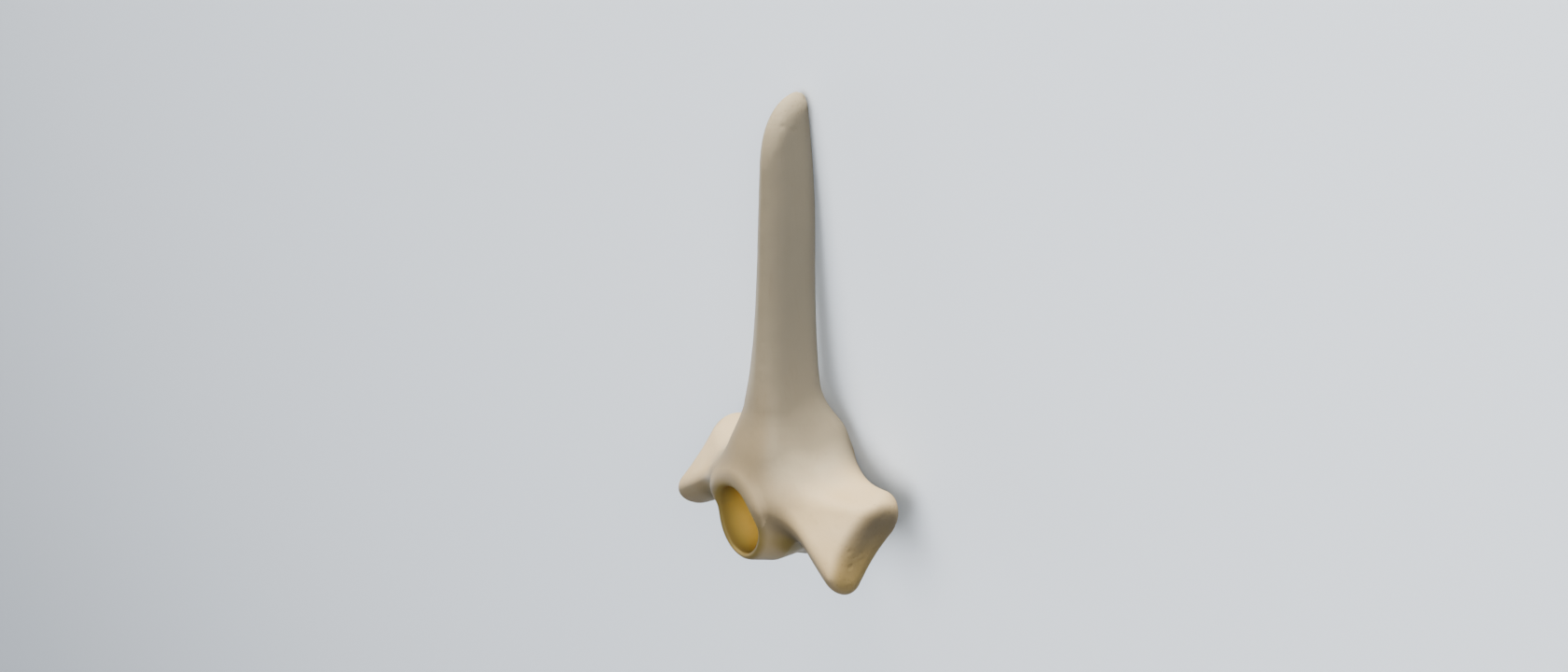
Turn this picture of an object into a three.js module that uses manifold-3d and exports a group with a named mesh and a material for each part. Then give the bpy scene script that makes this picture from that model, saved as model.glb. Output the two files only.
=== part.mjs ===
// A pig's thoracic vertebra at life size, in millimetres, lying on its tail side.
// In the bone's own frame X runs to the animal's left, Y to the tail and Z to the back, and the
// origin lies on the axis of the vertebral canal. The bone is the same on both sides of X = 0.

import * as THREE from 'three';
import { mergeVertices } from 'three/addons/utils/BufferGeometryUtils.js';
import Module from 'manifold-3d';

// Spinous process: a tall flat blade with a flared foot, growing thinner towards its tip.
const BLADE = {
  halfThick: 3.51,
  halfDepth: 8.12,
  middleY: 0.48,
  edgeRound: 5.5,
  bottomZ: 8,
  flareZ: 18.91,
  flareRun: 17,
  flareSoft: 12,
  flareThick: 4.39,
  flareDepth: 3.12,
  flareShift: -0.99,
  thinZ: 70,
  thinRun: 42,
  thinShare: 0.2,
  tailTaper: 3.51,
};

// Tip of the blade: a gently sloping top that runs into a steep bevel on the head side.
const TIP = {
  tailY: 6.5,
  tailZ: 109.53,
  topSlope: 0.43,
  headY: -6.46,
  headZ: 103.03,
  bevelSlope: 2.07,
  meetRound: 5.74,
  edgeRound: 5.8,
};

// Vertebral canal and the ring of bone around it, thicker towards the tail.
const CANAL = { halfWide: 7.57, halfTall: 9.1, middleZ: -0.2, sides: 40 };
const RING = {
  headY: -13.67,
  tailY: 13,
  wall: 1.48,
  wallGain: 1.9,
  sideGain: 1.99,
  gainRun: 6.8,
  rimRound: 1.68,
};

// Laminae: rounded plates from the foot of the blade down to the roots of the side processes.
const LAMINA = {
  head: [0.5, -5.77, 14.64],
  tail: [0.5, 6.61, 17.49],
  side: [15.07, 6.35, 4.9],
  radius: 3.67,
};

// Crest along the tail edge of each lamina.
const CREST = { from: [6.27, 9.49, 17.47], to: [12.87, 7.04, 11.77], radii: [3.16, 2.54] };

// Transverse processes: rounded plates that end in an upper and a lower lobe.
const TRANSVERSE = {
  root: [11.81, -4.6, 3.93],
  upper: [30.56, 5.08, 5.55],
  lower: [29.35, -4.51, -5.15],
  radii: [6.81, 5.37, 5.78],
};

// Slanted underside of each transverse process, as a point and the way that it faces.
const UNDERSIDE = { through: [30, -9.5, -9.81], faces: [-0.79, -0.65, -0.91], edgeRound: 4.31 };

// Ridge along the back edge of each transverse process, out to its upper lobe.
const RIDGE = { from: [15.66, 6.27, 8.24], to: [28.02, 8.24, 8.35], radii: [3.97, 3.79] };

// Costal facet: the hollow for the rib at the end of each process, between the two lobes.
const FACET = { middle: [38.37, -0.99, 1.9], half: [6.91, 13.66, 11.29], turn: 0.87, edgeRound: 3.98 };

// Caudal articular processes, and the vertebral body under the tail half of the canal.
const ARTICULAR = { middle: [5.98, 11.29, 9.54], half: [4.23, 5.98, 8.89] };
const BODY = { middle: [0, 11.5, -10.6], half: [8.5, 9, 5], tailY: 17.5, edgeRound: 2.5 };

// Fillets where one form runs into the next.
const FILLET = {
  lamina: 9.28,
  crest: 4,
  blade: 10.96,
  articular: 2.49,
  ridge: 3.38,
  transverse: 9,
  body: 5,
};

// Division into sub-parts: heights and width of the cuts, and the gap that each leaves.
const CUT = { bladeZ: 27, sideX: 14, bodyZ: -4.5, gap: 0.3 };

// Resting: depth of the flats where the bone touches the floor, and what lies below and above.
const REST = { flat: 0.35, archTopZ: 40, tipFromZ: 60 };

// Surface grid: fine over the arch and the tip, longer steps along the plain shaft of the blade.
const GRID = { step: 1.6, shaftStep: 4.4, shaftZ: [34, 92], halfX: 38.4, y: [-19, 21], z: [-19, 112] };

const FAR = 200;
const AXES = ['x', 'y', 'z'];

/** Limits a number to the range from 0 to 1. */
function clampShare(t) {
  return Math.min(Math.max(t, 0), 1);
}

/** Distance to two forms joined with a fillet. */
function joined(a, b, fillet) {
  const share = Math.max(fillet - Math.abs(a - b), 0) / fillet;
  return Math.min(a, b) - share * share * fillet * 0.25;
}

/** Distance to what two forms have in common, with a rounded edge. */
function common(a, b, round) {
  return -joined(-a, -b, round);
}

/** Distance to an ellipsoid, or an ellipse in two dimensions, about the origin. */
function ellipsoid(offsets, halves) {
  let near = 0;
  let steep = 0;
  offsets.forEach((offset, i) => {
    near += (offset / halves[i]) ** 2;
    steep += (offset / halves[i] ** 2) ** 2;
  });
  const scaled = Math.sqrt(near);
  return (scaled * (scaled - 1)) / Math.max(Math.sqrt(steep), 1e-9);
}

/** A rounded plate: a triangle thickened by a radius that changes from corner to corner. */
class Plate {
  constructor(corners, radii) {
    this.triangle = new THREE.Triangle(...corners.map((corner) => new THREE.Vector3(...corner)));
    this.radii = new THREE.Vector3(...radii);
    this.nearest = new THREE.Vector3();
    this.weights = new THREE.Vector3();
  }

  /** Distance from a point to the rounded surface. */
  distance(point) {
    this.triangle.closestPointToPoint(point, this.nearest);
    this.triangle.getBarycoord(this.nearest, this.weights);
    return point.distanceTo(this.nearest) - this.weights.dot(this.radii);
  }
}

/** A round bar from one point to another, with a radius that changes along it. */
class Bar {
  constructor({ from, to, radii }) {
    this.line = new THREE.Line3(new THREE.Vector3(...from), new THREE.Vector3(...to));
    this.radii = radii;
    this.nearest = new THREE.Vector3();
  }

  /** Distance from a point to the surface of the bar. */
  distance(point) {
    const share = this.line.closestPointToPointParameter(point, true);
    this.line.at(share, this.nearest);
    return point.distanceTo(this.nearest) - THREE.MathUtils.lerp(...this.radii, share);
  }
}

const laminaPlate = new Plate(
  [LAMINA.head, LAMINA.tail, LAMINA.side],
  [LAMINA.radius, LAMINA.radius, LAMINA.radius],
);
const transversePlate = new Plate(
  [TRANSVERSE.root, TRANSVERSE.upper, TRANSVERSE.lower],
  TRANSVERSE.radii,
);
const crestBar = new Bar(CREST);
const ridgeBar = new Bar(RIDGE);
const undersidePlane = new THREE.Plane().setFromNormalAndCoplanarPoint(
  new THREE.Vector3(...UNDERSIDE.faces).normalize(),
  new THREE.Vector3(...UNDERSIDE.through),
);

/** Spinous process with its flared foot and slanted tip. */
function bladeDistance({ x, y, z }) {
  const flare = Math.exp(-common(z - BLADE.flareZ, 0, BLADE.flareSoft) / BLADE.flareRun);
  const rise = clampShare((z - BLADE.thinZ) / BLADE.thinRun);
  const thin = rise * rise * (3 - 2 * rise);
  const taper = BLADE.tailTaper * rise * rise * 0.5;
  const halfThick = (BLADE.halfThick + BLADE.flareThick * flare) * (1 - BLADE.thinShare * thin);
  const halfDepth = BLADE.halfDepth + BLADE.flareDepth * flare - taper;
  const middleY = BLADE.middleY + BLADE.flareShift * flare - taper;
  const shaft = common(x - halfThick, Math.abs(y - middleY) - halfDepth, BLADE.edgeRound);
  const top = (z - TIP.tailZ - TIP.topSlope * (y - TIP.tailY)) / Math.hypot(1, TIP.topSlope);
  const bevel = (z - TIP.headZ - TIP.bevelSlope * (y - TIP.headY)) / Math.hypot(1, TIP.bevelSlope);
  const tipped = common(shaft, common(top, bevel, TIP.meetRound), TIP.edgeRound);
  return common(tipped, BLADE.bottomZ - z, 4);
}

/** Ring of bone around the canal, before the canal is cut. */
function ringDistance({ x, y, z }) {
  const grown = clampShare((y - RING.headY) / RING.gainRun);
  const wall = RING.wall + RING.wallGain * grown;
  const halves = [CANAL.halfWide + wall + RING.sideGain * grown, CANAL.halfTall + wall];
  const outer = ellipsoid([x, z - CANAL.middleZ], halves);
  return common(outer, Math.max(RING.headY - y, y - RING.tailY), RING.rimRound);
}

/** Transverse process with its slanted underside, and the facet for the rib between its lobes. */
function transverseDistance(point) {
  const [x, y, z] = FACET.middle.map((middle, i) => point[AXES[i]] - middle);
  const along = Math.cos(FACET.turn) * y + Math.sin(FACET.turn) * z;
  const across = Math.cos(FACET.turn) * z - Math.sin(FACET.turn) * y;
  const hollow = ellipsoid([x, along, across], FACET.half);
  const process = joined(transversePlate.distance(point), ridgeBar.distance(point), FILLET.ridge);
  const faceted = common(process, -hollow, FACET.edgeRound);
  return common(faceted, undersidePlane.distanceToPoint(point), UNDERSIDE.edgeRound);
}

/** Distance to an ellipsoidal form given by its middle and half sizes. */
function lobeDistance(point, { middle, half }) {
  return ellipsoid(middle.map((value, i) => point[AXES[i]] - value), half);
}

const sidePoint = new THREE.Vector3();

/** Distance to the whole bone with its canal still filled, negative inside it. */
function boneDistance(point) {
  const p = sidePoint.set(Math.abs(point.x), point.y, point.z);
  const body = common(lobeDistance(p, BODY), p.y - BODY.tailY, BODY.edgeRound);
  let bone = joined(ringDistance(p), laminaPlate.distance(p), FILLET.lamina);
  bone = joined(bone, crestBar.distance(p), FILLET.crest);
  bone = joined(bone, bladeDistance(p), FILLET.blade);
  bone = joined(bone, lobeDistance(p, ARTICULAR), FILLET.articular);
  bone = joined(bone, transverseDistance(p), FILLET.transverse);
  return joined(bone, body, FILLET.body);
}

/** Grid lines from one end to the other, with a step that may change along the way. */
function gridLines(start, end, stepAt) {
  const lines = [start];
  while (lines.at(-1) < end) {
    lines.push(lines.at(-1) + stepAt(lines.at(-1)));
  }
  return lines;
}

/** Moves a point onto the surface of a distance function by two Newton steps. */
function settle(point, distance, limit) {
  const nudge = 0.02;
  const slope = new THREE.Vector3();
  for (let pass = 0; pass < 2; pass += 1) {
    const here = distance(point);
    AXES.forEach((axis) => {
      const ahead = point.clone();
      ahead[axis] += nudge;
      slope[axis] = (distance(ahead) - here) / nudge;
    });
    slope.multiplyScalar(-here / Math.max(slope.lengthSq(), 0.25));
    point.add(slope.clampLength(0, limit));
  }
  return point;
}

/** Closed surface where a distance function is zero, as one vertex per crossed grid cell. */
function surfaceGeometry(distance, lines) {
  const counts = lines.map((values) => values.length);
  const node = (i, j, k) => (i * counts[1] + j) * counts[2] + k;
  const samples = new Float64Array(counts[0] * counts[1] * counts[2]);
  const at = (cell) => new THREE.Vector3(...cell.map((index, axis) => lines[axis][index]));
  const shifted = (cell, axis, by) => cell.map((index, i) => (i === axis ? index + by : index));
  const eachCell = (trim, visit) => {
    for (let i = 0; i < counts[0] - trim; i += 1) {
      for (let j = 0; j < counts[1] - trim; j += 1) {
        for (let k = 0; k < counts[2] - trim; k += 1) {
          visit([i, j, k]);
        }
      }
    }
  };
  eachCell(0, (cell) => {
    samples[node(...cell)] = distance(at(cell));
  });
  const crosses = (a, b) => samples[node(...a)] < 0 !== samples[node(...b)] < 0;

  const corners = [];
  for (let corner = 0; corner < 8; corner += 1) {
    corners.push([corner & 1, (corner >> 1) & 1, (corner >> 2) & 1]);
  }
  const vertexOf = new Map();
  const positions = [];
  eachCell(1, (cell) => {
    const sum = new THREE.Vector3();
    let found = 0;
    corners.forEach((corner) => {
      const from = cell.map((index, i) => index + corner[i]);
      AXES.forEach((_, axis) => {
        const to = shifted(from, axis, 1);
        if (corner[axis] === 0 && crosses(from, to)) {
          const low = samples[node(...from)];
          const share = low / (low - samples[node(...to)]);
          sum.add(at(from).lerp(at(to), share));
          found += 1;
        }
      });
    });
    if (found > 0) {
      vertexOf.set(node(...cell), positions.length);
      positions.push(settle(sum.divideScalar(found), distance, GRID.step / 3));
    }
  });

  const triangles = [];
  eachCell(1, (cell) => {
    AXES.forEach((_, axis) => {
      const next = shifted(cell, axis, 1);
      if (!crosses(cell, next)) {
        return;
      }
      const [u, v] = [(axis + 1) % 3, (axis + 2) % 3];
      const around = [[-1, -1], [0, -1], [0, 0], [-1, 0]];
      const quad = around.map(([du, dv]) => vertexOf.get(node(...shifted(shifted(cell, u, du), v, dv))));
      if (samples[node(...cell)] >= 0) {
        quad.reverse();
      }
      const [a, b, c, d] = quad;
      const first = positions[a].distanceTo(positions[c]);
      const second = positions[b].distanceTo(positions[d]);
      triangles.push(...(first <= second ? [a, b, c, a, c, d] : [b, c, d, b, d, a]));
    });
  });
  const geometry = new THREE.BufferGeometry().setFromPoints(positions);
  geometry.setIndex(triangles);
  return geometry;
}

const wasm = await Module();
wasm.setup();

/** Closed solid for joining and cutting, from a geometry. */
function solidOf(geometry) {
  const bare = geometry.clone();
  bare.deleteAttribute('normal');
  bare.deleteAttribute('uv');
  const merged = mergeVertices(bare, 1e-5);
  const triVerts = new Uint32Array(merged.index.array);
  const vertProperties = merged.attributes.position.array;
  return new wasm.Manifold(new wasm.Mesh({ numProp: 3, vertProperties, triVerts }));
}

/** Geometry of the largest closed surface of a solid. */
function geometryOf(solid) {
  const pieces = solid.decompose().sort((a, b) => b.volume() - a.volume());
  const { vertProperties, triVerts } = pieces[0].getMesh();
  const geometry = new THREE.BufferGeometry();
  geometry.setAttribute('position', new THREE.BufferAttribute(vertProperties, 3));
  geometry.setIndex(new THREE.BufferAttribute(triVerts, 1));
  geometry.computeVertexNormals();
  return geometry;
}

/** A block between two corners, as a solid. */
function block(low, high) {
  const size = high.map((value, i) => value - low[i]);
  const middle = high.map((value, i) => (value + low[i]) / 2);
  return solidOf(new THREE.BoxGeometry(...size).translate(...middle));
}

/** Slope of the floor against the bone's Z axis when arch and blade tip touch it together. */
function restSlope(positions) {
  let slope = 0;
  for (let pass = 0; pass < 8; pass += 1) {
    const reach = (point) => point.y + slope * point.z;
    const lowest = (points) => points.reduce((best, p) => (reach(p) > reach(best) ? p : best));
    const arch = lowest(positions.filter((p) => p.z < REST.archTopZ));
    const tip = lowest(positions.filter((p) => p.z > REST.tipFromZ));
    slope = (arch.y - tip.y) / (tip.z - arch.z);
  }
  return slope;
}

const shaftStep = (z) => (z > GRID.shaftZ[0] && z < GRID.shaftZ[1] ? GRID.shaftStep : GRID.step);
const surface = surfaceGeometry(boneDistance, [
  gridLines(-GRID.halfX, GRID.halfX, () => GRID.step),
  gridLines(...GRID.y, () => GRID.step),
  gridLines(...GRID.z, shaftStep),
]);

// The bone is laid on its tail side, on the articular processes and the tip of the blade.
const points = [];
for (let i = 0; i < surface.attributes.position.count; i += 1) {
  points.push(new THREE.Vector3().fromBufferAttribute(surface.attributes.position, i));
}
const lying = new THREE.Matrix4().makeRotationX(-(Math.PI / 2 + Math.atan(restSlope(points))));
const box = new THREE.Box3().setFromPoints(points.map((point) => point.clone().applyMatrix4(lying)));
const middle = box.getCenter(new THREE.Vector3());
const restAt = new THREE.Vector3(-middle.x, -middle.y, -box.min.z - REST.flat);
const restTurn = new THREE.Euler().setFromRotationMatrix(lying);
const toFloor = lying.clone().setPosition(restAt);

// Everything below the floor is trimmed off, which leaves three small flats, and the canal is cut.
const under = new THREE.BoxGeometry(FAR, FAR, FAR).translate(0, 0, -FAR / 2);
const canal = new THREE.CylinderGeometry(1, 1, FAR, CANAL.sides);
canal.scale(CANAL.halfWide, 1, CANAL.halfTall).translate(0, 0, CANAL.middleZ);
const whole = solidOf(surface)
  .subtract(solidOf(under.applyMatrix4(toFloor.clone().invert())))
  .subtract(solidOf(canal));

const half = CUT.gap / 2;
const belowBlade = block([-FAR, -FAR, -FAR], [FAR, FAR, CUT.bladeZ - half]);
const core = block([-CUT.sideX + half, -FAR, -FAR], [CUT.sideX - half, FAR, FAR]);
const lower = whole.intersect(belowBlade);
const middlePart = lower.intersect(core);
const subParts = {
  spinous_process: whole.intersect(block([-FAR, -FAR, CUT.bladeZ + half], [FAR, FAR, FAR])),
  vertebral_arch: middlePart.intersect(block([-FAR, -FAR, CUT.bodyZ + half], [FAR, FAR, FAR])),
  vertebral_body: middlePart.intersect(block([-FAR, -FAR, -FAR], [FAR, FAR, CUT.bodyZ - half])),
  transverse_process_left: lower.intersect(block([CUT.sideX + half, -FAR, -FAR], [FAR, FAR, FAR])),
  transverse_process_right: lower.intersect(block([-FAR, -FAR, -FAR], [-CUT.sideX - half, FAR, FAR])),
};

const boneColour = {
  spinous_process: 0xc9c0ad,
  vertebral_arch: 0xcdbfa6,
  vertebral_body: 0xc8b48c,
  transverse_process_left: 0xdccdb4,
  transverse_process_right: 0xdccdb4,
};

const bone = new THREE.Group();
bone.rotation.copy(restTurn);
bone.position.copy(restAt);
Object.entries(subParts).forEach(([name, solid]) => {
  const color = boneColour[name];
  const material = new THREE.MeshStandardMaterial({ color, roughness: 0.6, metalness: 0 });
  const mesh = new THREE.Mesh(geometryOf(solid), material);
  mesh.name = name;
  bone.add(mesh);
});

const vertebra = new THREE.Group();
vertebra.add(bone);

export default vertebra;
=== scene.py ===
"""Pig thoracic vertebra: the fine bone surface over its solids, its finish, studio and camera.

Sizes in the anatomy classes are millimetres in the bone's own frame: X to the animal's left, Y to
the tail, Z to the back, with the origin on the axis of the vertebral canal. Finished meshes are in
metres in the row frame, where the bone lies on its tail side.
"""
import logging
import math
from dataclasses import dataclass
from enum import Enum
from typing import Callable, Iterable

import bpy
import numpy as np
from mathutils import Matrix, Vector
from mathutils.bvhtree import BVHTree


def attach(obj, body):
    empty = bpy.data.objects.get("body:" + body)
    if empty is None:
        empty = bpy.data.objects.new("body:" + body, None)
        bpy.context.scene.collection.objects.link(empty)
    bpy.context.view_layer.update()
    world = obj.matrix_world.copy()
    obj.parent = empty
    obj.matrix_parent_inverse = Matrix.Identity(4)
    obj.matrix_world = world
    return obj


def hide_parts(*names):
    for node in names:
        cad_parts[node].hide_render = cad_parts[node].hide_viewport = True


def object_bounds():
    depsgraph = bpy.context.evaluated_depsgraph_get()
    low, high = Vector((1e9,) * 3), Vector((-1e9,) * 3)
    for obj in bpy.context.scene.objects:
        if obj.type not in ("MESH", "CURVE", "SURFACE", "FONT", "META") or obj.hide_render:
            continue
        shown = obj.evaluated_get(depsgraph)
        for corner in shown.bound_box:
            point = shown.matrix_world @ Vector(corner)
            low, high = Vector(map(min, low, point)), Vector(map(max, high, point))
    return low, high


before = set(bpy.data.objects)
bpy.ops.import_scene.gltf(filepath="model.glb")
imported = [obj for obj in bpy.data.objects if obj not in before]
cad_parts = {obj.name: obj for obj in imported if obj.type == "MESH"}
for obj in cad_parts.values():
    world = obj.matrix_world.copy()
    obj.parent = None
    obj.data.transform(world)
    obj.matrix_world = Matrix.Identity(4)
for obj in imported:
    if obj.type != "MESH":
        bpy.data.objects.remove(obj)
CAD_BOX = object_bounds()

LOG = logging.getLogger("vertebra")

Array = np.ndarray
Coords = tuple[Array, Array, Array]
Triple = tuple[float, float, float]
Band = tuple[float, float]
Colour = tuple[int, int, int]
MM = 0.001
TINY = 1e-9
NOISE_MIDDLE = 0.5


class SurfaceMark(Enum):
    """Names of the values that the bone's surface carries for its finish and relief."""

    # hollow: how shut in the surface is; the finish paints shade there, khaki then olive
    HOLLOW = "hollow"
    # gold: painted warm shade and bounced light, growing with depth into the canal
    GOLD = "gold"
    # front: head-facing surfaces of the arch, darkened to tan with painted shade
    FRONT = "front"
    ENDS = "ends"
    # shaft: blade and lamina, greyed with painted shade
    SHAFT = "shaft"
    # facet: the rib's facet, painted with shade from ochre to umber
    FACET = "facet"


class ReliefInput(Enum):
    """Named inputs of the surface relief."""

    GRAIN_DEPTH = "Grain depth"
    GRAIN_SIZE = "Grain size"
    PORE_DEPTH = "Pore depth"
    PORE_SPACING = "Pore spacing"
    SEED = "Seed"
    FINISH = "Finish"


def joined(a: Array, b: Array, fillet: float) -> Array:
    """Distance to two forms joined with a fillet.

    Args:
        a: Distances to the first form.
        b: Distances to the second form.
        fillet: Width over which they blend.

    Returns:
        Distances to the joined form.
    """
    share = np.maximum(fillet - np.abs(a - b), 0.0) / fillet
    return np.minimum(a, b) - share * share * fillet * 0.25


def common(a: Array, b: Array, rounding: float) -> Array:
    """Distance to what two forms have in common, with a rounded edge.

    Args:
        a: Distances to the first form.
        b: Distances to the second form.
        rounding: Width of the rounded edge.

    Returns:
        Distances to the common form.
    """
    return -joined(-a, -b, rounding)


def ellipsoid(offsets: Iterable[Array], halves: Iterable[Array | float]) -> Array:
    """Distance to an ellipsoid, or an ellipse in two dimensions.

    Args:
        offsets: Coordinates from its middle.
        halves: Half sizes along the same axes.

    Returns:
        Distances, negative inside.
    """
    near: Array | float = 0.0
    steep: Array | float = 0.0
    for offset, half in zip(offsets, halves):
        near = near + (offset / half) ** 2
        steep = steep + (offset / half**2) ** 2
    scaled = np.sqrt(near)
    return scaled * (scaled - 1.0) / np.maximum(np.sqrt(steep), TINY)


def ramp(values: Array, low: float, high: float) -> Array:
    """Smooth step from 0 at low to 1 at high.

    Args:
        values: Values to grade.
        low: Where the step starts.
        high: Where it ends.

    Returns:
        Shares from 0 to 1.
    """
    t = np.clip((values - low) / (high - low), 0.0, 1.0)
    return t * t * (3.0 - 2.0 * t)


@dataclass(frozen=True)
class Plate:
    """A triangle thickened by a radius that changes from corner to corner."""

    corners: tuple[Triple, Triple, Triple]
    radii: Triple

    def distance(self, at: Coords) -> Array:
        """Distance to the rounded plate.

        Args:
            at: Coordinates.

        Returns:
            Distances, negative inside.
        """
        first, second, third = (np.array(corner) for corner in self.corners)
        u, v = second - first, third - first
        offset = [axis - start for axis, start in zip(at, first)]
        along_u = sum(part * size for part, size in zip(offset, u))
        along_v = sum(part * size for part, size in zip(offset, v))
        uu, uv, vv = float(u @ u), float(u @ v), float(v @ v)
        spread = uu * vv - uv * uv
        s = (vv * along_u - uv * along_v) / spread
        t = (uu * along_v - uv * along_u) / spread
        within = (s >= 0.0) & (t >= 0.0) & (s + t <= 1.0)
        edge = np.clip((along_v - along_u - uv + uu) / float((v - u) @ (v - u)), 0.0, 1.0)
        zero = np.zeros_like(s)
        choices = (
            (np.where(within, s, 0.0), np.where(within, t, 0.0)),
            (np.clip(along_u / uu, 0.0, 1.0), zero),
            (zero, np.clip(along_v / vv, 0.0, 1.0)),
            (1.0 - edge, edge),
        )
        nearest = np.full_like(s, np.inf)
        radius = np.zeros_like(s)
        for share_u, share_v in choices:
            gap = sum(
                (part - share_u * du - share_v * dv) ** 2 for part, du, dv in zip(offset, u, v)
            )
            here = (
                self.radii[0]
                + share_u * (self.radii[1] - self.radii[0])
                + share_v * (self.radii[2] - self.radii[0])
            )
            closer = gap < nearest
            nearest = np.where(closer, gap, nearest)
            radius = np.where(closer, here, radius)
        return np.sqrt(nearest) - radius


@dataclass(frozen=True)
class Bar:
    """A round bar from one point to another, with a radius that changes along it."""

    start: Triple
    end: Triple
    radii: tuple[float, float]

    def distance(self, at: Coords) -> Array:
        """Distance to the bar.

        Args:
            at: Coordinates.

        Returns:
            Distances, negative inside.
        """
        offset = [axis - start for axis, start in zip(at, self.start)]
        line = [end - start for start, end in zip(self.start, self.end)]
        along = sum(part * size for part, size in zip(offset, line))
        share = np.clip(along / sum(size**2 for size in line), 0.0, 1.0)
        gap = sum((part - share * size) ** 2 for part, size in zip(offset, line))
        return np.sqrt(gap) - self.radii[0] - share * (self.radii[1] - self.radii[0])


@dataclass(frozen=True)
class SpinousProcess:
    """Tall flat blade with a flared foot and a slanted, bevelled tip."""

    half_thick: float = 3.51
    half_depth: float = 8.12
    middle_y: float = 0.48
    edge_round: float = 5.5
    bottom_z: float = 8.0
    bottom_round: float = 4.0
    flare_z: float = 18.91
    flare_run: float = 17.0
    flare_soft: float = 12.0
    flare_thick: float = 4.39
    flare_depth: float = 3.12
    flare_shift: float = -0.99
    thin_z: float = 70.0
    thin_run: float = 42.0
    thin_share: float = 0.2
    tail_taper: float = 3.51
    tip_tail: tuple[float, float] = (6.5, 109.53)
    tip_head: tuple[float, float] = (-6.46, 103.03)
    top_slope: float = 0.43
    bevel_slope: float = 2.07
    tip_meet: float = 5.74
    tip_round: float = 5.8

    def distance(self, at: Coords) -> Array:
        """Distance to the blade.

        Args:
            at: Coordinates, with X taken as positive.

        Returns:
            Distances, negative inside.
        """
        x, y, z = at
        rising = common(z - self.flare_z, np.zeros_like(z), self.flare_soft)
        flare = np.exp(-rising / self.flare_run)
        rise = np.clip((z - self.thin_z) / self.thin_run, 0.0, 1.0)
        thin = ramp(z, self.thin_z, self.thin_z + self.thin_run)
        taper = self.tail_taper * rise * rise * 0.5
        thick = (self.half_thick + self.flare_thick * flare) * (1.0 - self.thin_share * thin)
        depth = self.half_depth + self.flare_depth * flare - taper
        middle = self.middle_y + self.flare_shift * flare - taper
        shaft = common(x - thick, np.abs(y - middle) - depth, self.edge_round)
        top = self._slope(y, z, self.tip_tail, self.top_slope)
        bevel = self._slope(y, z, self.tip_head, self.bevel_slope)
        tipped = common(shaft, common(top, bevel, self.tip_meet), self.tip_round)
        return common(tipped, self.bottom_z - z, self.bottom_round)

    @staticmethod
    def _slope(y: Array, z: Array, through: tuple[float, float], slope: float) -> Array:
        """Distance above a sloping plane.

        Args:
            y: Coordinates towards the tail.
            z: Coordinates towards the back.
            through: A point (Y, Z) of the plane.
            slope: Rise in Z over Y.

        Returns:
            Distances, negative below the plane.
        """
        return (z - through[1] - slope * (y - through[0])) / math.hypot(1.0, slope)


@dataclass(frozen=True)
class CanalRing:
    """Ring of bone around the vertebral canal, thicker towards the tail."""

    half_wide: float = 7.57
    half_tall: float = 9.1
    middle_z: float = -0.2
    mouth_round: float = 1.0
    head_y: float = -13.67
    tail_y: float = 13.0
    wall: float = 1.48
    wall_gain: float = 1.9
    side_gain: float = 1.99
    gain_run: float = 6.8
    rim_round: float = 1.68

    def distance(self, at: Coords) -> Array:
        """Distance to the ring with its canal still filled.

        Args:
            at: Coordinates, with X taken as positive.

        Returns:
            Distances, negative inside.
        """
        x, y, z = at
        grown = np.clip((y - self.head_y) / self.gain_run, 0.0, 1.0)
        wall = self.wall + self.wall_gain * grown
        halves = (self.half_wide + wall + self.side_gain * grown, self.half_tall + wall)
        outer = ellipsoid((x, z - self.middle_z), halves)
        return common(outer, np.maximum(self.head_y - y, y - self.tail_y), self.rim_round)

    def canal(self, at: Coords) -> Array:
        """Distance to the canal.

        Args:
            at: Coordinates.

        Returns:
            Distances, negative inside the canal.
        """
        return ellipsoid((at[0], at[2] - self.middle_z), (self.half_wide, self.half_tall))


@dataclass(frozen=True)
class TransverseProcess:
    """Rounded plate with a slanted underside, and the rib's facet between its end lobes."""

    plate: Plate = Plate(
        ((11.81, -4.6, 3.93), (30.56, 5.08, 5.55), (29.35, -4.51, -5.15)), (6.81, 5.37, 5.78)
    )
    ridge: Bar = Bar((15.66, 6.27, 8.24), (28.02, 8.24, 8.35), (3.97, 3.79))
    ridge_fillet: float = 3.38
    facet_middle: Triple = (38.37, -0.99, 1.9)
    facet_half: Triple = (6.91, 13.66, 11.29)
    facet_turn: float = 0.87
    facet_round: float = 3.98
    underside_through: Triple = (30.0, -9.5, -9.81)
    underside_faces: Triple = (-0.79, -0.65, -0.91)
    underside_round: float = 4.31

    def distance(self, at: Coords) -> Array:
        """Distance to the process.

        Args:
            at: Coordinates, with X taken as positive.

        Returns:
            Distances, negative inside.
        """
        whole = joined(self.plate.distance(at), self.ridge.distance(at), self.ridge_fillet)
        faceted = common(whole, -self.facet(at), self.facet_round)
        steep = math.hypot(*self.underside_faces)
        below = sum(
            (axis - through) * faces / steep
            for axis, through, faces in zip(at, self.underside_through, self.underside_faces)
        )
        return common(faceted, below, self.underside_round)

    def facet(self, at: Coords) -> Array:
        """Distance to the hollow for the rib.

        Args:
            at: Coordinates, with X taken as positive.

        Returns:
            Distances, negative inside the hollow.
        """
        x, y, z = (axis - middle for axis, middle in zip(at, self.facet_middle))
        along = math.cos(self.facet_turn) * y + math.sin(self.facet_turn) * z
        across = math.cos(self.facet_turn) * z - math.sin(self.facet_turn) * y
        return ellipsoid((x, along, across), self.facet_half)


@dataclass(frozen=True)
class Lobe:
    """A rounded swelling given by its middle and half sizes."""

    middle: Triple
    half: Triple

    def distance(self, at: Coords) -> Array:
        """Distance to the swelling.

        Args:
            at: Coordinates, with X taken as positive.

        Returns:
            Distances, negative inside.
        """
        return ellipsoid((axis - middle for axis, middle in zip(at, self.middle)), self.half)


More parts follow.
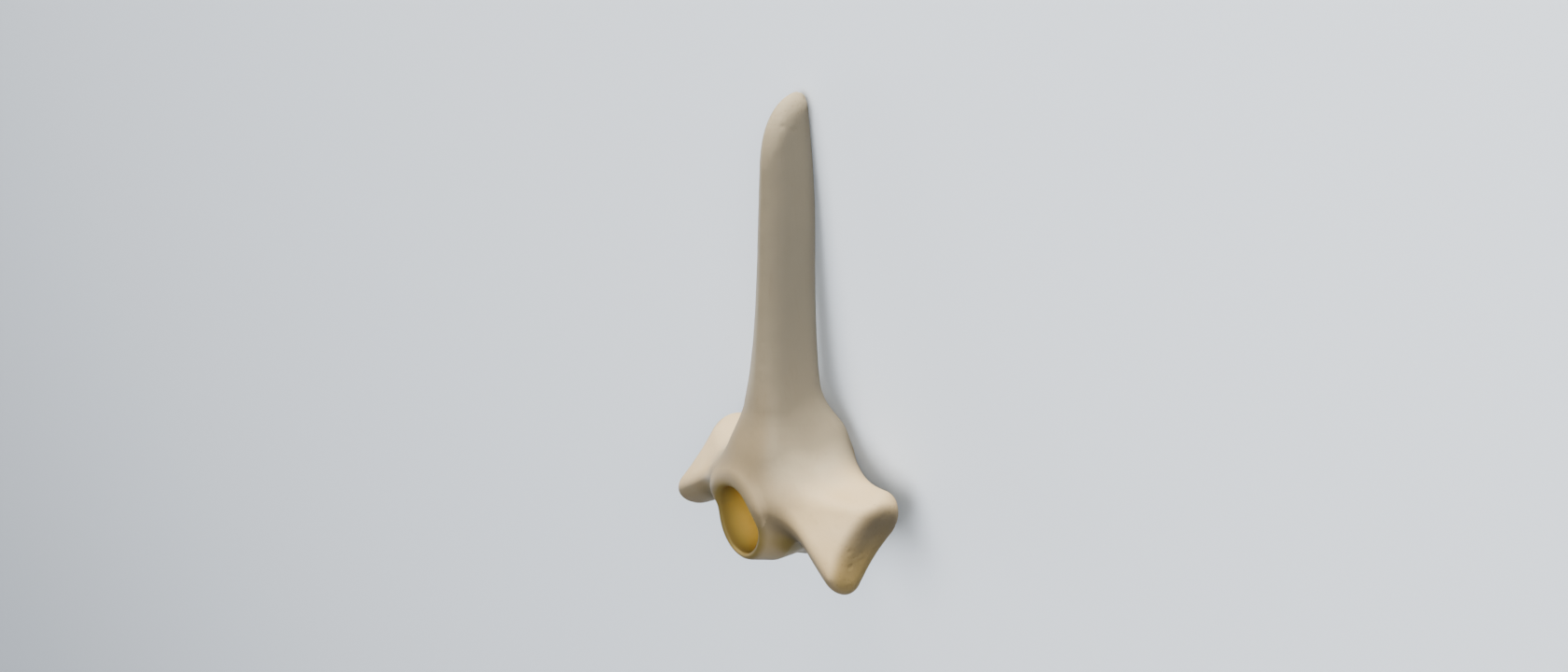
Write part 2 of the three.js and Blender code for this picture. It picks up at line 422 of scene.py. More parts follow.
@dataclass(frozen=True)
class RestPose:
    """How the bone lies: a turn about X and a shift, from its own frame to the row frame."""

    turn_deg: float = -96.919672
    shift: Triple = (0.0, -43.896905, 18.056946)

    def matrix(self) -> Matrix:
        """Turn and shift, with the shift in millimetres."""
        turn = Matrix.Rotation(math.radians(self.turn_deg), 4, "X")
        return Matrix.Translation(self.shift) @ turn

    def place(self, points: Array) -> Array:
        """Moves points of the bone to where they lie on the floor.

        Args:
            points: Points in the bone's frame, in millimetres, one per row.

        Returns:
            Points in the row frame, in metres, none below the floor.
        """
        matrix = np.array(self.matrix())
        placed = points @ matrix[:3, :3].T + matrix[:3, 3]
        placed[:, 2] = np.maximum(placed[:, 2], 0.0)
        return placed * MM


@dataclass(frozen=True)
class SurfaceNet:
    """Closed quad surface of a distance function, with one vertex in each crossed grid cell."""

    step: float
    low: Triple
    high: Triple
    passes: int = 3
    least_slope_squared: float = 0.25

    def lines(self) -> list[Array]:
        """Grid lines along each axis, in whole steps about the middle plane."""
        return [
            np.arange(math.floor(low / self.step), math.ceil(high / self.step) + 1) * self.step
            for low, high in zip(self.low, self.high)
        ]

    def polygonise(self, distance: Callable[[Coords], Array]) -> tuple[Array, Array]:
        """Finds the surface where the distance is zero.

        Args:
            distance: Function that is negative inside the form.

        Returns:
            Vertices, one per row, and quads of vertex numbers with their faces outwards.
        """
        lines = self.lines()
        grid = np.stack(np.meshgrid(*lines, indexing="ij"), axis=-1)
        values = distance((grid[..., 0], grid[..., 1], grid[..., 2]))
        cells = tuple(len(line) - 1 for line in lines)
        total = np.zeros((*cells, 3))
        count = np.zeros(cells, dtype=int)
        for start in np.ndindex(2, 2, 2):
            for axis in range(3):
                if start[axis]:
                    continue
                end = tuple(1 if i == axis else start[i] for i in range(3))
                here, there = self._corner(values, start), self._corner(values, end)
                crossed = (here < 0.0) != (there < 0.0)
                fall = np.where(crossed, here - there, 1.0)
                share = np.where(crossed, here / fall, 0.0)[..., None]
                near, far = self._corner(grid, start), self._corner(grid, end)
                point = near * (1.0 - share) + far * share
                total += np.where(crossed[..., None], point, 0.0)
                count += crossed
        used = count > 0
        number = np.full(cells, -1)
        number[used] = np.arange(int(used.sum()))
        vertices = total[used] / count[used][:, None]
        return self._settle(vertices, distance), self._quads(values, number)

    @staticmethod
    def _corner(samples: Array, start: tuple[int, ...]) -> Array:
        """Samples at one corner of every cell.

        Args:
            samples: Values on the grid.
            start: 0 or 1 along each axis.

        Returns:
            The values at that corner.
        """
        window = tuple(slice(s, samples.shape[i] - 1 + s) for i, s in enumerate(start))
        return samples[window]

    @staticmethod
    def _quads(values: Array, number: Array) -> Array:
        """Joins the vertices of the four cells around each crossed grid edge.

        Args:
            values: Distances on the grid.
            number: Vertex number of each cell.

        Returns:
            Quads of vertex numbers.
        """
        quads = []
        inside = values < 0.0
        for axis in range(3):
            u, v = (axis + 1) % 3, (axis + 2) % 3
            window = [slice(1, -1)] * 3
            window[axis] = slice(0, -1)
            ahead = list(window)
            ahead[axis] = slice(1, None)
            low, high = inside[tuple(window)], inside[tuple(ahead)]
            for picked, order in ((low & ~high, (0, 1, 2, 3)), (~low & high, (3, 2, 1, 0))):
                at = np.argwhere(picked)
                ring = []
                for du, dv in ((0, 0), (1, 0), (1, 1), (0, 1)):
                    cell = at.copy()
                    cell[:, u] += du
                    cell[:, v] += dv
                    ring.append(number[cell[:, 0], cell[:, 1], cell[:, 2]])
                quads.append(np.stack([ring[i] for i in order], axis=1))
        return np.concatenate(quads)

    def _settle(self, vertices: Array, distance: Callable[[Coords], Array]) -> Array:
        """Moves vertices onto the surface by Newton steps.

        Args:
            vertices: First guess, one per row.
            distance: Function that is negative inside the form.

        Returns:
            Vertices on the surface.
        """
        for _ in range(self.passes):
            here = distance(tuple(vertices.T))
            slope = gradient(vertices, distance)
            steep = np.maximum((slope * slope).sum(1), self.least_slope_squared)
            move = here[:, None] * slope / steep[:, None]
            vertices = vertices - np.clip(move, -self.step / 2.0, self.step / 2.0)
        return vertices


def gradient(points: Array, distance: Callable[[Coords], Array], nudge: float = 0.02) -> Array:
    """Slope of a distance function.

    Args:
        points: Points, one per row.
        distance: The function.
        nudge: Half the length over which it is measured.

    Returns:
        Slopes, one per row.
    """
    slope = np.zeros_like(points)
    for axis in range(3):
        step = np.zeros(3)
        step[axis] = nudge
        ahead = distance(tuple((points + step).T))
        behind = distance(tuple((points - step).T))
        slope[:, axis] = (ahead - behind) / (2.0 * nudge)
    return slope


@dataclass(frozen=True)
class Openness:
    """Measures how far the surface is shut in by the bone around it."""

    reaches: tuple[float, ...] = (3.5, 6.0, 9.0, 14.0)
    passes: int = 60

    def hollow(self, vertices: Array, normals: Array, quads: Array) -> Array:
        """Compares the way out along each normal with the room that is there.

        Args:
            vertices: Points of the surface.
            normals: Outward normals there.
            quads: Faces as vertex numbers.

        Returns:
            Values from 0, open, to 1, shut in.
        """
        tree = BVHTree.FromPolygons(vertices.tolist(), quads.tolist())
        shut = np.zeros(len(vertices))
        for reach in self.reaches:
            outside = (vertices + normals * reach).tolist()
            room = np.array([tree.find_nearest(point)[3] for point in outside])
            shut += np.clip(1.0 - room / reach, 0.0, 1.0)
        return self._spread(shut / len(self.reaches), quads)

    def _spread(self, values: Array, quads: Array) -> Array:
        """Softens values by passing them between neighbours.

        Args:
            values: One value per vertex.
            quads: Faces as vertex numbers.

        Returns:
            The softened values.
        """
        corners = quads.ravel()
        shares = np.bincount(corners, minlength=len(values))
        for _ in range(self.passes):
            faces = np.repeat(values[quads].mean(axis=1), quads.shape[1])
            values = np.bincount(corners, faces, len(values)) / shares
        return values


class Value:
    """A node's output that takes part in Python arithmetic, where each sign adds a Math node."""

    def __init__(self, graph: "NodeGraph", socket: bpy.types.NodeSocket) -> None:
        """Wraps a socket.

        Args:
            graph: The graph that the socket is in.
            socket: The output socket.
        """
        self.graph = graph
        self.socket = socket

    def _math(self, operation: str, *terms: "Value | float") -> "Value":
        """Adds a Math node.

        Args:
            operation: Name of the operation.
            terms: Its inputs, in order.

        Returns:
            The result.
        """
        return self.graph.node("ShaderNodeMath", {"operation": operation}, dict(enumerate(terms)))

    def __add__(self, other: "Value | float") -> "Value":
        """Sum."""
        return self._math("ADD", self, other)

    __radd__ = __add__

    def __mul__(self, other: "Value | float") -> "Value":
        """Product."""
        return self._math("MULTIPLY", self, other)

    __rmul__ = __mul__

    def __sub__(self, other: "Value | float") -> "Value":
        """Difference."""
        return self._math("SUBTRACT", self, other)

    def __rsub__(self, other: float) -> "Value":
        """Difference from a number."""
        return self._math("SUBTRACT", other, self)

    def __truediv__(self, other: "Value | float") -> "Value":
        """Quotient."""
        return self._math("DIVIDE", self, other)

    def __rtruediv__(self, other: float) -> "Value":
        """Number divided by this value."""
        return self._math("DIVIDE", other, self)

    def step(self, low: float, high: float) -> "Value":
        """Smooth step from 0 at low to 1 at high.

        Args:
            low: Where the step starts.
            high: Where it ends.

        Returns:
            The graded value.
        """
        return self.graph.node(
            "ShaderNodeMapRange",
            {"interpolation_type": "SMOOTHSTEP"},
            {0: self, 1: low, 2: high, 3: 0.0, 4: 1.0},
        )


class NodeGraph:
    """Adds nodes to one node tree."""

    def __init__(self, tree: bpy.types.NodeTree) -> None:
        """Starts on a tree.

        Args:
            tree: A shader or geometry node tree.
        """
        self.tree = tree
        tree.nodes.clear()

    def node(
        self,
        kind: str,
        settings: dict[str, object] | None = None,
        sockets: dict[int | str, object] | None = None,
        output: int | str = 0,
    ) -> Value:
        """Adds a node of any type.

        Args:
            kind: The node's type.
            settings: Its settings, set first.
            sockets: Values or links of its inputs, by number or name.
            output: Number or name of the output to hand back.

        Returns:
            The wrapped output, with an empty socket for a node that has no output.
        """
        made = self.tree.nodes.new(kind)
        for name, value in (settings or {}).items():
            setattr(made, name, value)
        for key, value in (sockets or {}).items():
            if isinstance(value, Value):
                self.tree.links.new(value.socket, made.inputs[key])
            else:
                made.inputs[key].default_value = value
        return Value(self, made.outputs[output] if made.outputs else None)

    def mix(self, factor: Value | float, first: object, second: object) -> Value:
        """Mixes two colours.

        Args:
            factor: Share of the second.
            first: A colour or a link to one.
            second: A colour or a link to one.

        Returns:
            The mixed colour.
        """
        # The Mix node's colours are its inputs 6 and 7 and its output 2.
        settings = {"data_type": "RGBA", "blend_type": "MIX", "clamp_factor": True}
        return self.node("ShaderNodeMix", settings, {0: factor, 6: first, 7: second}, 2)


def node_material(name: str) -> tuple[bpy.types.Material, NodeGraph]:
    """Starts an empty node material.

    Args:
        name: The material's name.

    Returns:
        The material and the graph of its nodes.
    """
    material = bpy.data.materials.new(name)
    material.use_nodes = True
    return material, NodeGraph(material.node_tree)


def linked(name: str, data: bpy.types.ID) -> bpy.types.Object:
    """Puts an object in the scene.

    Args:
        name: Its name.
        data: Its mesh, light or camera.

    Returns:
        The object.
    """
    made = bpy.data.objects.new(name, data)
    bpy.context.scene.collection.objects.link(made)
    return made


def linear(red: int, green: int, blue: int) -> tuple[float, float, float, float]:
    """Colour for a node from display values, by the sRGB curve.

    Args:
        red: Red, 0 to 255.
        green: Green, 0 to 255.
        blue: Blue, 0 to 255.

    Returns:
        Linear red, green, blue and alpha.
    """
    shares = [value / 255.0 for value in (red, green, blue)]
    return (*(s / 12.92 if s <= 0.04045 else ((s + 0.055) / 1.055) ** 2.4 for s in shares), 1.0)


@dataclass(frozen=True)
class BoneFinish:
    """Dry cream bone with a satin surface and painted shade, warmer where it is shut in and in the
    canal.
    """

    name: str = "dry_bone"
    cream: Colour = (240, 214, 168)
    chalk: Colour = (246, 224, 184)
    # Grey is painted shade on the blade and lamina.
    grey: Colour = (188, 178, 156)
    # Tan is painted shade on head-facing surfaces.
    tan: Colour = (164, 147, 118)
    # Khaki and olive are painted shade where the surface is shut in.
    khaki: Colour = (164, 142, 74)
    olive: Colour = (136, 118, 54)
    # Ochre and umber are painted shade on the rib's facet, darker towards the back.
    ochre: Colour = (182, 154, 84)
    umber: Colour = (120, 108, 86)
    # Gold is painted warm shade and bounced light deepening into the canal.
    gold: Colour = (250, 212, 96)
    speck: Colour = (150, 124, 84)
    cloud_scale: float = 55.0
    grain_scale: float = 700.0
    streak_scale: float = 900.0
    streak_stretch: Triple = (1.0, 0.07, 1.0)
    pore_scale: float = 900.0
    soft_detail: float = 3.0
    fine_detail: float = 4.0
    chalk_band: Band = (0.38, 0.68)
    khaki_band: Band = (0.01, 0.12)
    olive_band: Band = (0.08, 0.20)
    umber_band: Band = (-0.050, -0.038)
    streak_band: Band = (0.55, 0.80)
    grain_band: Band = (0.60, 0.85)
    pore_band: Band = (0.05, 0.32)
    grey_share: float = 0.9
    tan_share: float = 0.8
    tan_cloud: float = 0.12
    khaki_share: float = 0.85
    olive_share: float = 0.65
    facet_share: float = 0.8
    streak_share: float = 0.10
    grain_share: float = 0.08
    pore_share: float = 0.25
    roughness: float = 0.5
    cloud_roughness: float = 0.10
    ends_roughness: float = 0.10
    hollow_roughness: float = 0.06
    specular: float = 0.35
    grain_height: float = 0.5
    streak_height: float = 0.6
    pore_height: float = 1.2
    bump_strength: float = 0.12
    bump_distance: float = 0.0004

    def build(self) -> bpy.types.Material:
        """Makes the material.

        Returns:
            The material, which reads the marks on the bone's surface.
        """
        material, graph = node_material(self.name)
        at = graph.node("ShaderNodeTexCoord", output="Object")
        marks = (self._mark(graph, mark) for mark in SurfaceMark)
        hollow, gold, front, ends, shaft, facet = marks
        cloud = self._noise(graph, at, self.cloud_scale, self.soft_detail)
        grain = self._noise(graph, at, self.grain_scale, self.fine_detail)
        drawn = graph.node("ShaderNodeMapping", None, {"Vector": at, "Scale": self.streak_stretch})
        streak = self._noise(graph, drawn, self.streak_scale, self.soft_detail)
        cells = graph.node(
            "ShaderNodeTexVoronoi", {"feature": "F1"}, {"Vector": at, "Scale": self.pore_scale}
        )
        pore = (1.0 - cells.step(*self.pore_band)) * ends

        chalky = cloud.step(*self.chalk_band)
        # Painted shade on head-facing surfaces, with random mottling from the cloud noise.
        front_shade_and_mottle = front * self.tan_share + (cloud - NOISE_MIDDLE) * self.tan_cloud
        streaked = streak.step(*self.streak_band) * self.streak_share
        grained = grain.step(*self.grain_band) * self.grain_share
        # Painted shade on the rib's facet: ochre low down, umber towards the back under the upper
        # lobe.
        along = graph.node("ShaderNodeSeparateXYZ", None, {0: at}, "Y")
        painted_facet_shade = graph.mix(along.step(*self.umber_band), linear(*self.ochre), linear(*self.umber))
        colour = graph.mix(chalky, linear(*self.cream), linear(*self.chalk))
        for share, over in (
            # Painted shade greying the blade and lamina.
            (shaft * self.grey_share, linear(*self.grey)),
            # Painted shade on head-facing surfaces.
            (front_shade_and_mottle, linear(*self.tan)),
            # Painted shade in hollows and creases, khaki then olive.
            (hollow.step(*self.khaki_band) * self.khaki_share, linear(*self.khaki)),
            (hollow.step(*self.olive_band) * self.olive_share, linear(*self.olive)),
            # Painted shade on the rib's facet.
            (facet * self.facet_share, painted_facet_shade),
            # Painted warm shade and bounced light deepening into the canal.
            (gold, linear(*self.gold)),
            ((streaked + grained) * (1.0 - gold) + pore * self.pore_share, linear(*self.speck)),
        ):
            colour = graph.mix(share, colour, over)

        rough = (
            self.roughness
            + cloud * self.cloud_roughness
            + ends * self.ends_roughness
            + hollow * self.hollow_roughness
        )
        height = (
            grain * self.grain_height
            + streak * self.streak_height * (1.0 - ends)
            - pore * self.pore_height
        )
        bump = graph.node(
            "ShaderNodeBump",
            None,
            {"Strength": self.bump_strength, "Distance": self.bump_distance, "Height": height},
        )
        shader = graph.node(
            "ShaderNodeBsdfPrincipled",
            None,
            {
                "Base Color": colour,
                "Roughness": rough,
                "Specular IOR Level": self.specular,
                "Normal": bump,
            },
        )
        graph.node("ShaderNodeOutputMaterial", None, {"Surface": shader})
        return material

    @staticmethod
    def _mark(graph: NodeGraph, mark: SurfaceMark) -> Value:
        """Reads one of the marks on the surface.

        Args:
            graph: The material's graph.
            mark: Which mark.

        Returns:
            Its value.
        """
        return graph.node("ShaderNodeAttribute", {"attribute_name": mark.value}, None, "Fac")

    @staticmethod
    def _noise(graph: NodeGraph, at: Value, scale: float, detail: float) -> Value:
        """Adds soft noise.

        Args:
            graph: The material's graph.
            at: Coordinates.
            scale: Repeats per metre.
            detail: Layers of finer noise.

        Returns:
            The noise's value.
        """
        sockets = {"Vector": at, "Scale": scale, "Detail": detail}
        return graph.node("ShaderNodeTexNoise", None, sockets)


@dataclass(frozen=True)
class SurfaceRelief:
    """Fine relief of dry bone: a soft grain all over and open pores at the growing ends."""

    grain_depth: float = 0.00014
    grain_size: float = 0.0045
    grain_detail: float = 2.0
    pore_depth: float = 0.00022
    pore_spacing: float = 0.0021
    pore_band: Band = (0.08, 0.40)
    seed: float = 7.0

    def tree(self) -> bpy.types.NodeTree:
        """Makes the geometry node tree with its named inputs.

        Returns:
            The tree.
        """
        tree = bpy.data.node_groups.new("bone_relief", "GeometryNodeTree")
        graph = NodeGraph(tree)
        tree.interface.new_socket("Geometry", in_out="INPUT", socket_type="NodeSocketGeometry")
        for item in ReliefInput:
            kind = "NodeSocketMaterial" if item is ReliefInput.FINISH else "NodeSocketFloat"
            tree.interface.new_socket(item.value, in_out="INPUT", socket_type=kind)
        tree.interface.new_socket("Geometry", in_out="OUTPUT", socket_type="NodeSocketGeometry")
        given = {name: graph.node("NodeGroupInput", None, None, name) for name in self._names()}
        seed = given[ReliefInput.SEED.value]
        at = graph.node("GeometryNodeInputPosition")
        normal = graph.node("GeometryNodeInputNormal")
        ends = graph.node(
            "GeometryNodeInputNamedAttribute",
            {"data_type": "FLOAT"},
            {"Name": SurfaceMark.ENDS.value},
        )
        noise = graph.node(
            "ShaderNodeTexNoise",
            {"noise_dimensions": "4D"},
            {
                "Vector": at,
                "W": seed,
                "Scale": 1.0 / given[ReliefInput.GRAIN_SIZE.value],
                "Detail": self.grain_detail,
            },
        )
        cells = graph.node(
            "ShaderNodeTexVoronoi",
            {"voronoi_dimensions": "4D"},
            {"Vector": at, "W": seed, "Scale": 1.0 / given[ReliefInput.PORE_SPACING.value]},
        )
        grain = (noise - NOISE_MIDDLE) * given[ReliefInput.GRAIN_DEPTH.value]
        open_share = (1.0 - cells.step(*self.pore_band)) * ends
        pore = open_share * given[ReliefInput.PORE_DEPTH.value]
        offset = graph.node(
            "ShaderNodeVectorMath", {"operation": "SCALE"}, {0: normal, "Scale": grain - pore}
        )
        moved = graph.node(
            "GeometryNodeSetPosition", None, {"Geometry": given["Geometry"], "Offset": offset}
        )
        whole = graph.node("GeometryNodeRealizeInstances", None, {"Geometry": moved})
        finished = graph.node(
            "GeometryNodeSetMaterial",
            None,
            {"Geometry": whole, "Material": given[ReliefInput.FINISH.value]},
        )
        graph.node("NodeGroupOutput", None, {"Geometry": finished})
        return tree

    @staticmethod
    def _names() -> list[str]:
        """Names of all inputs, the geometry first."""
        return ["Geometry", *(item.value for item in ReliefInput)]

    def apply(self, piece: bpy.types.Object, finish: bpy.types.Material) -> None:
        """Gives a piece its relief and finish, and leaves it a plain mesh.

        Args:
            piece: The mesh object.
            finish: Its material.
        """
        tree = self.tree()
        modifier = piece.modifiers.new("relief", "NODES")
        modifier.node_group = tree
        sizes = {
            ReliefInput.GRAIN_DEPTH: self.grain_depth,
            ReliefInput.GRAIN_SIZE: self.grain_size,
            ReliefInput.PORE_DEPTH: self.pore_depth,
            ReliefInput.PORE_SPACING: self.pore_spacing,
            ReliefInput.SEED: self.seed,
            ReliefInput.FINISH: finish,
        }
        places = {item.name: item.identifier for item in tree.interface.items_tree}
        for item, value in sizes.items():
            modifier[places[item.value]] = value
        graph = bpy.context.evaluated_depsgraph_get()
        mesh = bpy.data.meshes.new_from_object(piece.evaluated_get(graph), depsgraph=graph)
        piece.modifiers.remove(modifier)
        plain = piece.data
        piece.data = mesh
        bpy.data.meshes.remove(plain)
        mesh.name = piece.name


@dataclass(frozen=True)
class MarkBands:
    """Where the marks fade: in millimetres, or as a share of the normal for front_faces."""

    canal_wall: Band = (0.0, 0.8)
    canal_depth: float = 9.0
    facet_edge: Band = (0.6, 3.2)
    front_faces: Band = (0.2, 0.9)
    front_z: Band = (16.0, 44.0)
    front_x: Band = (12.0, 20.0)
    shaft_z: Band = (4.0, 17.0)
    shaft_x: Band = (13.0, 22.0)
    tip_z: Band = (92.0, 106.0)
    side_x: Band = (27.0, 33.0)
    tail_y: Band = (13.0, 16.5)


@dataclass(frozen=True)
class Vertebra:
    """The whole bone, joined from its named forms."""

    blade: SpinousProcess = SpinousProcess()
    ring: CanalRing = CanalRing()
    lamina: Plate = Plate(
        ((0.5, -5.77, 14.64), (0.5, 6.61, 17.49), (15.07, 6.35, 4.9)), (3.67, 3.67, 3.67)
    )
    crest: Bar = Bar((6.27, 9.49, 17.47), (12.87, 7.04, 11.77), (3.16, 2.54))
    transverse: TransverseProcess = TransverseProcess()
    articular: Lobe = Lobe((5.98, 11.29, 9.54), (4.23, 5.98, 8.89))
    body: Lobe = Lobe((0.0, 11.5, -10.6), (8.5, 9.0, 5.0))
    body_tail_y: float = 17.5
    body_round: float = 2.5
    lamina_fillet: float = 9.28
    crest_fillet: float = 4.0
    blade_fillet: float = 10.96
    articular_fillet: float = 2.49
    transverse_fillet: float = 9.0
    body_fillet: float = 5.0
    pose: RestPose = RestPose()
    net: SurfaceNet = SurfaceNet(0.5, (-37.0, -19.0, -19.0), (37.0, 20.0, 112.0))
    openness: Openness = Openness()
    bands: MarkBands = MarkBands()
    relief: SurfaceRelief = SurfaceRelief()

    def distance(self, at: Coords) -> Array:
        """Distance to the bone, the same on both sides of its middle plane.

        Args:
            at: Coordinates.

        Returns:
            Distances, negative inside.
        """
        p = (np.abs(at[0]), at[1], at[2])
        bone = joined(self.ring.distance(p), self.lamina.distance(p), self.lamina_fillet)
        bone = joined(bone, self.crest.distance(p), self.crest_fillet)
        bone = joined(bone, self.blade.distance(p), self.blade_fillet)
        bone = joined(bone, self.articular.distance(p), self.articular_fillet)
        bone = joined(bone, self.transverse.distance(p), self.transverse_fillet)
        body = common(self.body.distance(p), p[1] - self.body_tail_y, self.body_round)
        bone = joined(bone, body, self.body_fillet)
        return common(bone, -self.ring.canal(p), self.ring.mouth_round)

    def marks(self, vertices: Array, normals: Array, quads: Array) -> dict[SurfaceMark, Array]:
        """Values that the finish and the relief read from the surface.

        Args:
            vertices: Points of the surface in the bone's frame.
            normals: Outward normals there.
            quads: Faces as vertex numbers.

        Returns:
            One array of values per mark.
        """
        x, y, z = np.abs(vertices[:, 0]), vertices[:, 1], vertices[:, 2]
        bands, head_y = self.bands, self.ring.head_y
        within = 1.0 - ramp(self.ring.canal((x, y, z)), *bands.canal_wall)
        front = ramp(-normals[:, 1], *bands.front_faces) * (1.0 - ramp(z, *bands.front_z))
        ends = np.maximum(ramp(z, *bands.tip_z), ramp(x, *bands.side_x))
        return {
            # How shut in the surface is, which sets the painted shade in hollows.
            SurfaceMark.HOLLOW: self.openness.hollow(vertices, normals, quads),
            # Painted warm shade and bounced light, deepening into the canal.
            SurfaceMark.GOLD: within * ramp(y, head_y, head_y + bands.canal_depth),
            # Head-facing surfaces, for their painted shade.
            SurfaceMark.FRONT: front * (1.0 - ramp(x, *bands.front_x)),
            SurfaceMark.ENDS: np.maximum(ends, ramp(y, *bands.tail_y)),
            # Blade and lamina, for their painted shade.
            SurfaceMark.SHAFT: ramp(z, *bands.shaft_z) * (1.0 - ramp(x, *bands.shaft_x)),
            # The rib's facet, for its painted shade.
            SurfaceMark.FACET: 1.0 - ramp(self.transverse.facet((x, y, z)), *bands.facet_edge),
        }

    def build(self, finish: bpy.types.Material) -> bpy.types.Object:
        """Makes the bone's surface as one piece over all its solids.

        Args:
            finish: Its material.

        Returns:
            The finished object.
        """
        vertices, quads = self.net.polygonise(self.distance)
        normals = gradient(vertices, self.distance)
        normals /= np.linalg.norm(normals, axis=1)[:, None]
        mesh = bpy.data.meshes.new("vertebra_bone")
        mesh.from_pydata(self.pose.place(vertices).tolist(), [], quads.tolist())
        for mark, values in self.marks(vertices, normals, quads).items():
            layer = mesh.attributes.new(mark.value, "FLOAT", "POINT")
            layer.data.foreach_set("value", values.astype(np.float32))
        mesh.polygons.foreach_set("use_smooth", np.ones(len(quads), dtype=bool))
        mesh.update()
        piece = linked("vertebra_bone", mesh)
        self.relief.apply(piece, finish)
        return piece


@dataclass(frozen=True)
class PhotoCamera:
    """Camera at the picture's viewing angle, given in the bone's frame and laid down with it."""

    azimuth_deg: float = 51.776
    elevation_deg: float = 22.515
    roll_deg: float = 0.6247
    distance: float = 524.0
    target: Triple = (0.0, 0.0, 45.6)
    focal_px: float = 2308.0
    picture_px: tuple[int, int] = (1680, 720)
    sensor_mm: float = 36.0
    clip_start: float = 0.01

    def build(self, pose: RestPose) -> bpy.types.Object:
        """Makes the camera and sets it as the scene's own.

        Args:
            pose: How the bone lies.

        Returns:
            The camera object.
        """
        angles = (self.azimuth_deg, self.elevation_deg, self.roll_deg)
        a, e, r = (math.radians(angle) for angle in angles)
        back = Vector((math.sin(a) * math.cos(e), -math.cos(a) * math.cos(e), math.sin(e)))
        right = Vector((math.cos(a), math.sin(a), 0.0))
        up = back.cross(right)
        rolled = right * math.cos(r) + up * math.sin(r)
        axes = Matrix((rolled, back.cross(rolled), back)).transposed().to_4x4()
        lying = pose.matrix()
        place = lying @ (Vector(self.target) + back * self.distance)
        data = bpy.data.cameras.new("photo_camera")
        data.sensor_fit = "HORIZONTAL"
        data.sensor_width = self.sensor_mm
        data.lens = self.focal_px / self.picture_px[0] * self.sensor_mm
        data.clip_start = self.clip_start
        camera = linked("photo_camera", data)
        turned = lying.to_3x3().to_4x4() @ axes
        camera.matrix_world = Matrix.Translation(place * MM) @ turned
        bpy.context.scene.camera = camera
        return camera


@dataclass(frozen=True, kw_only=True)
class StudioLight:
    """A light that faces a point."""

    name: str
    direction: Triple
    distance: float
    power: float
    colour: Triple = (1.0, 1.0, 1.0)

    def hang(self, kind: str, towards: Vector) -> bpy.types.Object:
        """Makes the light and turns it to the point.

        Args:
            kind: Type of the light.
            towards: Point that it faces, in metres.

        Returns:
            The light object.
        """
        data = bpy.data.lights.new(self.name, kind)
        data.energy = self.power
        data.color = self.colour
        light = linked(self.name, data)
        away = Vector(self.direction).normalized()
        light.location = towards + away * self.distance
        light.rotation_euler = away.to_track_quat("Z", "Y").to_euler()
        return light


@dataclass(frozen=True, kw_only=True)
class SoftLight(StudioLight):
    """A soft box."""

    size: tuple[float, float]
    floor_only: bool = False

    def build(self, towards: Vector, floor: bpy.types.Object) -> None:
        """Makes the light.

        Args:
            towards: Point that it faces, in metres.
            floor: The floor, for a light that falls on nothing else.
        """
        light = self.hang("AREA", towards)
        light.data.shape = "RECTANGLE"
        light.data.size, light.data.size_y = self.size
        if self.floor_only:
            lit = bpy.data.collections.new(f"{self.name}_falls_on")
            lit.objects.link(floor)
            light.light_linking.receiver_collection = lit


@dataclass(frozen=True, kw_only=True)
class PinLight(StudioLight):
    """A narrow soft-edged beam into the vertebral canal."""

    name: str = "canal_pin"
    direction: Triple = (0.43, 0.50, 0.80)
    distance: float = 0.5
    power: float = 10.0
    colour: Triple = (1.0, 0.95, 0.85)
    beam_deg: float = 2.0
    beam_blend: float = 0.8
    lamp_radius: float = 0.01

    def build(self, towards: Vector) -> None:
        """Makes the light.

        Args:
            towards: Point that it faces, in metres.
        """
        light = self.hang("SPOT", towards)
        light.data.spot_size = math.radians(self.beam_deg)
        light.data.spot_blend = self.beam_blend
        light.data.shadow_soft_size = self.lamp_radius


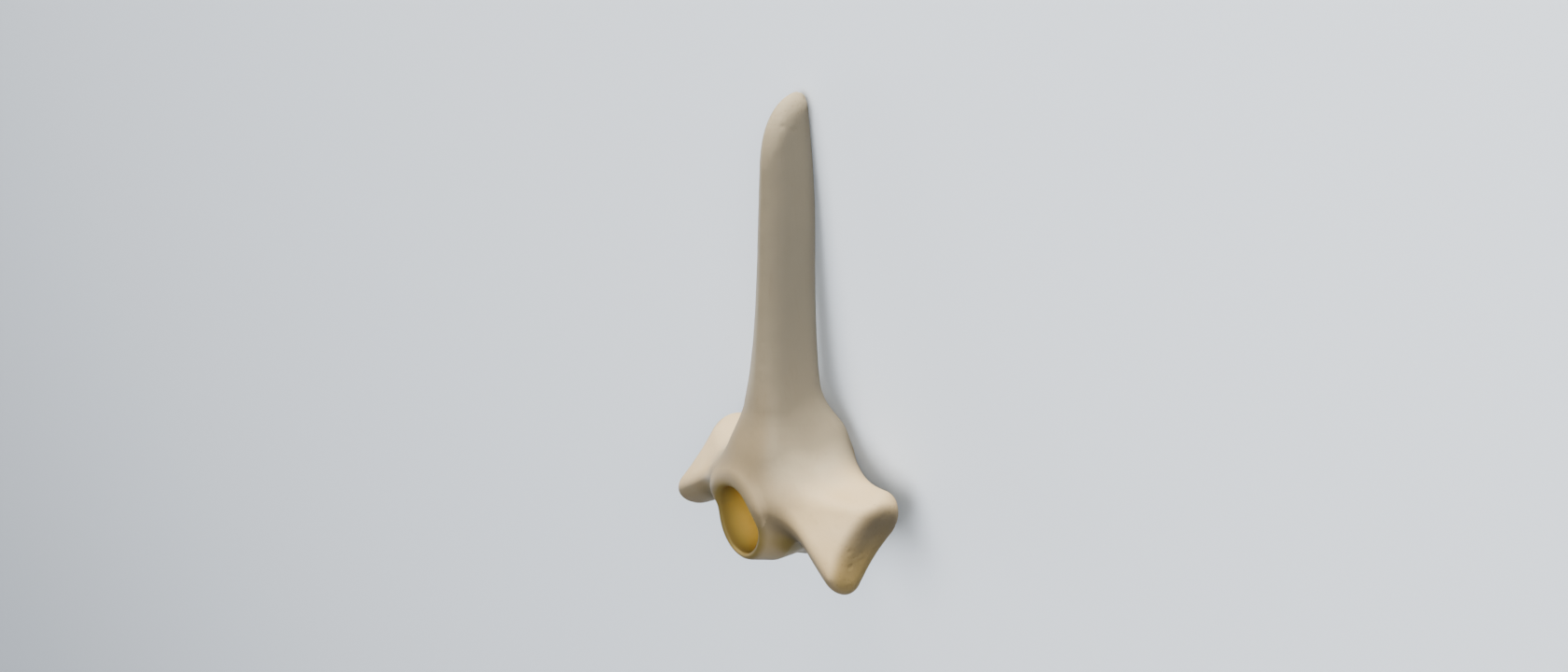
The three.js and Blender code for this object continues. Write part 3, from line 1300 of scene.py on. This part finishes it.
@dataclass(frozen=True)
class Studio:
    """Plain pale floor, soft boxes and even surrounding light."""

    floor_colour: Colour = (214, 222, 232)
    floor_roughness: float = 0.85
    floor_specular: float = 0.2
    floor_half: float = 4.0
    floor_drop: float = 0.00005
    sky_colour: Colour = (226, 238, 255)
    sky_strength: float = 0.11
    lights: tuple[SoftLight, ...] = (
        SoftLight(
            name="key_softbox",
            direction=(-0.05, 1.0, 0.03),
            distance=0.8,
            size=(0.25, 0.05),
            power=15.0,
            colour=(1.0, 0.91, 0.75),
        ),
        SoftLight(
            name="fill_softbox",
            direction=(0.76, 0.47, 0.45),
            distance=0.8,
            size=(0.3, 0.3),
            power=2.2,
            colour=(1.0, 0.98, 0.94),
        ),
        SoftLight(
            name="back_softbox",
            direction=(-0.90, -0.35, 0.25),
            distance=3.0,
            size=(1.1, 1.1),
            power=28.0,
            colour=(0.96, 0.98, 1.0),
        ),
        SoftLight(
            name="floor_softbox",
            direction=(0.1, 0.2, 1.0),
            distance=1.2,
            size=(1.2, 1.2),
            power=30.0,
            floor_only=True,
        ),
    )

    def build(self, towards: Vector) -> None:
        """Makes the floor, the lights and the surrounding light.

        Args:
            towards: Middle of the bone, in metres.
        """
        half, low = self.floor_half, -self.floor_drop
        mesh = bpy.data.meshes.new("floor")
        corners = [(-half, -half, low), (half, -half, low), (half, half, low), (-half, half, low)]
        mesh.from_pydata(corners, [], [(0, 1, 2, 3)])
        mesh.materials.append(self.floor_material())
        floor = linked("floor", mesh)
        floor.visible_diffuse = False
        for light in self.lights:
            light.build(towards, floor)
        world = bpy.data.worlds.new("studio")
        world.use_nodes = True
        graph = NodeGraph(world.node_tree)
        sky = graph.node(
            "ShaderNodeBackground",
            None,
            {"Color": linear(*self.sky_colour), "Strength": self.sky_strength},
        )
        graph.node("ShaderNodeOutputWorld", None, {"Surface": sky})
        bpy.context.scene.world = world

    def floor_material(self) -> bpy.types.Material:
        """Plain matt paper.

        Returns:
            The floor's material.
        """
        material, graph = node_material("pale_floor")
        shader = graph.node(
            "ShaderNodeBsdfPrincipled",
            None,
            {
                "Base Color": linear(*self.floor_colour),
                "Roughness": self.floor_roughness,
                "Specular IOR Level": self.floor_specular,
            },
        )
        graph.node("ShaderNodeOutputMaterial", None, {"Surface": shader})
        return material


def main() -> None:
    """Builds the bone, the camera and the studio, and ties the bone to the frame."""
    logging.basicConfig(level=logging.INFO, format="%(name)s: %(message)s")
    vertebra = Vertebra()
    camera = PhotoCamera().build(vertebra.pose)
    height = camera.matrix_world.translation.z
    LOG.info("camera %s above the floor by %.3f m", camera.name, height)
    bone = vertebra.build(BoneFinish().build())
    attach(bone, "root")
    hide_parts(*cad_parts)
    faces, solids = len(bone.data.polygons), len(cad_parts)
    LOG.info("%s: %d faces over %d solids", bone.name, faces, solids)
    low, high = CAD_BOX
    Studio().build((low + high) / 2.0)
    mouth = Vector((0.0, vertebra.ring.head_y, vertebra.ring.middle_z))
    PinLight().build(vertebra.pose.matrix() @ mouth * MM)


if __name__ == "__main__":
    main()
